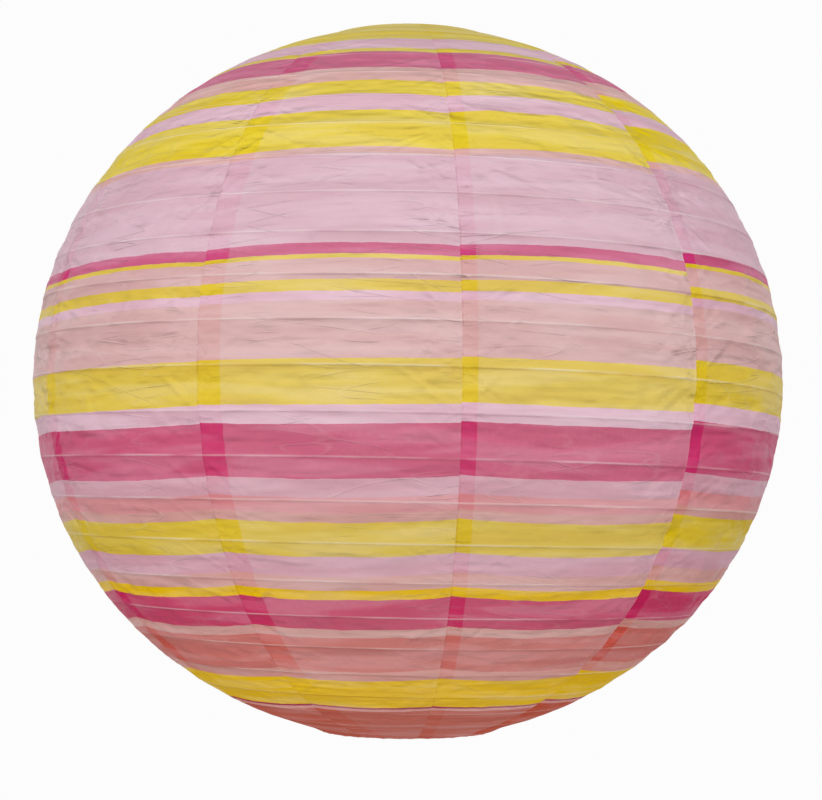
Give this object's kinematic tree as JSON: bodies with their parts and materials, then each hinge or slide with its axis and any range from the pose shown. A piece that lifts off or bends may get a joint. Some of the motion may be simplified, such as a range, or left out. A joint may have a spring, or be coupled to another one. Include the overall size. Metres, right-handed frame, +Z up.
{
  "type": "accordion paper lantern",
  "caption": "Round hanging lantern of horizontally striped tissue paper over a spiral rib, with open ring ends and a wire expander with a hanging loop.",
  "frame": {"origin": "centre of the hanging loop, in the plane of the top ring", "axes": "+Z up, -Y towards the front, +X to the right seen from the front; the expander lies in the plane of X and Z"},
  "size_m": [0.3994, 0.3994, 0.3809],
  "materials": {
    "printed_paper": "printed satin tissue in yellow, lilac, pink and beige bands",
    "hem_paper": "printed tissue folded round wire",
    "rib_wire": "thin drawn wire",
    "ring_wire": "drawn wire",
    "expander_wire": "galvanised wire"
  },
  "bodies": {
    "top": {"top_ring": "ring_wire", "top_hem": "hem_paper", "expander_crown": "expander_wire", "pleat_01_paper": "printed_paper", "rib_turn_01": "rib_wire"},
    "fold_01": {"pleat_02_paper": "printed_paper", "rib_turn_02": "rib_wire"},
    "fold_02": {"pleat_03_paper": "printed_paper", "rib_turn_03": "rib_wire"},
    "fold_03": {"pleat_04_paper": "printed_paper", "rib_turn_04": "rib_wire"},
    "fold_04": {"pleat_05_paper": "printed_paper", "rib_turn_05": "rib_wire"},
    "fold_05": {"pleat_06_paper": "printed_paper", "rib_turn_06": "rib_wire"},
    "fold_06": {"pleat_07_paper": "printed_paper", "rib_turn_07": "rib_wire"},
    "fold_07": {"pleat_08_paper": "printed_paper", "rib_turn_08": "rib_wire"},
    "fold_08": {"pleat_09_paper": "printed_paper", "rib_turn_09": "rib_wire"},
    "fold_09": {"pleat_10_paper": "printed_paper", "rib_turn_10": "rib_wire"},
    "fold_10": {"pleat_11_paper": "printed_paper", "rib_turn_11": "rib_wire"},
    "fold_11": {"pleat_12_paper": "printed_paper", "rib_turn_12": "rib_wire"},
    "fold_12": {"pleat_13_paper": "printed_paper", "rib_turn_13": "rib_wire"},
    "fold_13": {"pleat_14_paper": "printed_paper", "rib_turn_14": "rib_wire"},
    "fold_14": {"pleat_15_paper": "printed_paper", "rib_turn_15": "rib_wire"},
    "fold_15": {"pleat_16_paper": "printed_paper", "rib_turn_16": "rib_wire"},
    "fold_16": {"pleat_17_paper": "printed_paper", "rib_turn_17": "rib_wire"},
    "fold_17": {"pleat_18_paper": "printed_paper", "rib_turn_18": "rib_wire"},
    "fold_18": {"pleat_19_paper": "printed_paper", "rib_turn_19": "rib_wire"},
    "fold_19": {"pleat_20_paper": "printed_paper", "rib_turn_20": "rib_wire"},
    "fold_20": {"pleat_21_paper": "printed_paper", "rib_turn_21": "rib_wire"},
    "fold_21": {"pleat_22_paper": "printed_paper", "rib_turn_22": "rib_wire"},
    "fold_22": {"pleat_23_paper": "printed_paper", "rib_turn_23": "rib_wire"},
    "fold_23": {"pleat_24_paper": "printed_paper", "rib_turn_24": "rib_wire"},
    "fold_24": {"pleat_25_paper": "printed_paper", "rib_turn_25": "rib_wire"},
    "bottom": {"bottom_ring": "ring_wire", "bottom_hem": "hem_paper"},
    "leg_right": {"expander_leg_right": "expander_wire"},
    "leg_left": {"expander_leg_left": "expander_wire"}
  },
  "joints": [
    {"name": "fold_01_slide", "type": "slide", "parent": "top", "child": "fold_01", "axis": [0, 0, 1], "range_m": [0, 0.00391], "deforming": ["pleat_01_paper", "rib_turn_01"]},
    {"name": "fold_02_slide", "type": "slide", "parent": "fold_01", "child": "fold_02", "axis": [0, 0, 1], "range_m": [0, 0.00592], "deforming": ["pleat_02_paper", "rib_turn_02"]},
    {"name": "fold_03_slide", "type": "slide", "parent": "fold_02", "child": "fold_03", "axis": [0, 0, 1], "range_m": [0, 0.00786], "deforming": ["pleat_03_paper", "rib_turn_03"]},
    {"name": "fold_04_slide", "type": "slide", "parent": "fold_03", "child": "fold_04", "axis": [0, 0, 1], "range_m": [0, 0.00973], "deforming": ["pleat_04_paper", "rib_turn_04"]},
    {"name": "fold_05_slide", "type": "slide", "parent": "fold_04", "child": "fold_05", "axis": [0, 0, 1], "range_m": [0, 0.01151], "deforming": ["pleat_05_paper", "rib_turn_05"]},
    {"name": "fold_06_slide", "type": "slide", "parent": "fold_05", "child": "fold_06", "axis": [0, 0, 1], "range_m": [0, 0.01316], "deforming": ["pleat_06_paper", "rib_turn_06"]},
    {"name": "fold_07_slide", "type": "slide", "parent": "fold_06", "child": "fold_07", "axis": [0, 0, 1], "range_m": [0, 0.01467], "deforming": ["pleat_07_paper", "rib_turn_07"]},
    {"name": "fold_08_slide", "type": "slide", "parent": "fold_07", "child": "fold_08", "axis": [0, 0, 1], "range_m": [0, 0.016], "deforming": ["pleat_08_paper", "rib_turn_08"]},
    {"name": "fold_09_slide", "type": "slide", "parent": "fold_08", "child": "fold_09", "axis": [0, 0, 1], "range_m": [0, 0.01715], "deforming": ["pleat_09_paper", "rib_turn_09"]},
    {"name": "fold_10_slide", "type": "slide", "parent": "fold_09", "child": "fold_10", "axis": [0, 0, 1], "range_m": [0, 0.01806], "deforming": ["pleat_10_paper", "rib_turn_10"]},
    {"name": "fold_11_slide", "type": "slide", "parent": "fold_10", "child": "fold_11", "axis": [0, 0, 1], "range_m": [0, 0.01874], "deforming": ["pleat_11_paper", "rib_turn_11"]},
    {"name": "fold_12_slide", "type": "slide", "parent": "fold_11", "child": "fold_12", "axis": [0, 0, 1], "range_m": [0, 0.01915], "deforming": ["pleat_12_paper", "rib_turn_12"]},
    {"name": "collapse", "type": "slide", "parent": "fold_12", "child": "fold_13", "axis": [0, 0, 1], "range_m": [0, 0.01929], "deforming": ["pleat_13_paper", "rib_turn_13"]},
    {"name": "fold_14_slide", "type": "slide", "parent": "fold_13", "child": "fold_14", "axis": [0, 0, 1], "range_m": [0, 0.01915], "deforming": ["pleat_14_paper", "rib_turn_14"]},
    {"name": "fold_15_slide", "type": "slide", "parent": "fold_14", "child": "fold_15", "axis": [0, 0, 1], "range_m": [0, 0.01874], "deforming": ["pleat_15_paper", "rib_turn_15"]},
    {"name": "fold_16_slide", "type": "slide", "parent": "fold_15", "child": "fold_16", "axis": [0, 0, 1], "range_m": [0, 0.01806], "deforming": ["pleat_16_paper", "rib_turn_16"]},
    {"name": "fold_17_slide", "type": "slide", "parent": "fold_16", "child": "fold_17", "axis": [0, 0, 1], "range_m": [0, 0.01715], "deforming": ["pleat_17_paper", "rib_turn_17"]},
    {"name": "fold_18_slide", "type": "slide", "parent": "fold_17", "child": "fold_18", "axis": [0, 0, 1], "range_m": [0, 0.016], "deforming": ["pleat_18_paper", "rib_turn_18"]},
    {"name": "fold_19_slide", "type": "slide", "parent": "fold_18", "child": "fold_19", "axis": [0, 0, 1], "range_m": [0, 0.01467], "deforming": ["pleat_19_paper", "rib_turn_19"]},
    {"name": "fold_20_slide", "type": "slide", "parent": "fold_19", "child": "fold_20", "axis": [0, 0, 1], "range_m": [0, 0.01316], "deforming": ["pleat_20_paper", "rib_turn_20"]},
    {"name": "fold_21_slide", "type": "slide", "parent": "fold_20", "child": "fold_21", "axis": [0, 0, 1], "range_m": [0, 0.01151], "deforming": ["pleat_21_paper", "rib_turn_21"]},
    {"name": "fold_22_slide", "type": "slide", "parent": "fold_21", "child": "fold_22", "axis": [0, 0, 1], "range_m": [0, 0.00973], "deforming": ["pleat_22_paper", "rib_turn_22"]},
    {"name": "fold_23_slide", "type": "slide", "parent": "fold_22", "child": "fold_23", "axis": [0, 0, 1], "range_m": [0, 0.00786], "deforming": ["pleat_23_paper", "rib_turn_23"]},
    {"name": "fold_24_slide", "type": "slide", "parent": "fold_23", "child": "fold_24", "axis": [0, 0, 1], "range_m": [0, 0.00592], "deforming": ["pleat_24_paper", "rib_turn_24"]},
    {"name": "fold_25_slide", "type": "slide", "parent": "fold_24", "child": "bottom", "axis": [0, 0, 1], "range_m": [0, 0.00391], "deforming": ["pleat_25_paper", "rib_turn_25"]},
    {"name": "leg_right_squeeze", "type": "hinge", "parent": "top", "child": "leg_right", "pos_m": [0.0406, 0.00118, -0.0105], "axis": [0, 1, 0], "range_deg": [0, 5.5], "stiffness_Nm_per_rad": 0.02},
    {"name": "leg_left_squeeze", "type": "hinge", "parent": "top", "child": "leg_left", "pos_m": [-0.0406, -0.00118, -0.0105], "axis": [0, -1, 0], "range_deg": [0, 5.5], "stiffness_Nm_per_rad": 0.02}
  ],
  "couplings": [
    {"joint": "fold_01_slide", "follows": "collapse", "ratio": 0.2029},
    {"joint": "fold_02_slide", "follows": "collapse", "ratio": 0.30677},
    {"joint": "fold_03_slide", "follows": "collapse", "ratio": 0.40773},
    {"joint": "fold_04_slide", "follows": "collapse", "ratio": 0.50469},
    {"joint": "fold_05_slide", "follows": "collapse", "ratio": 0.59663},
    {"joint": "fold_06_slide", "follows": "collapse", "ratio": 0.68234},
    {"joint": "fold_07_slide", "follows": "collapse", "ratio": 0.76059},
    {"joint": "fold_08_slide", "follows": "collapse", "ratio": 0.82992},
    {"joint": "fold_09_slide", "follows": "collapse", "ratio": 0.88903},
    {"joint": "fold_10_slide", "follows": "collapse", "ratio": 0.93663},
    {"joint": "fold_11_slide", "follows": "collapse", "ratio": 0.97153},
    {"joint": "fold_12_slide", "follows": "collapse", "ratio": 0.99284},
    {"joint": "fold_14_slide", "follows": "collapse", "ratio": 0.99284},
    {"joint": "fold_15_slide", "follows": "collapse", "ratio": 0.97153},
    {"joint": "fold_16_slide", "follows": "collapse", "ratio": 0.93663},
    {"joint": "fold_17_slide", "follows": "collapse", "ratio": 0.88903},
    {"joint": "fold_18_slide", "follows": "collapse", "ratio": 0.82992},
    {"joint": "fold_19_slide", "follows": "collapse", "ratio": 0.76059},
    {"joint": "fold_20_slide", "follows": "collapse", "ratio": 0.68234},
    {"joint": "fold_21_slide", "follows": "collapse", "ratio": 0.59663},
    {"joint": "fold_22_slide", "follows": "collapse", "ratio": 0.50469},
    {"joint": "fold_23_slide", "follows": "collapse", "ratio": 0.40773},
    {"joint": "fold_24_slide", "follows": "collapse", "ratio": 0.30677},
    {"joint": "fold_25_slide", "follows": "collapse", "ratio": 0.2029}
  ]
}
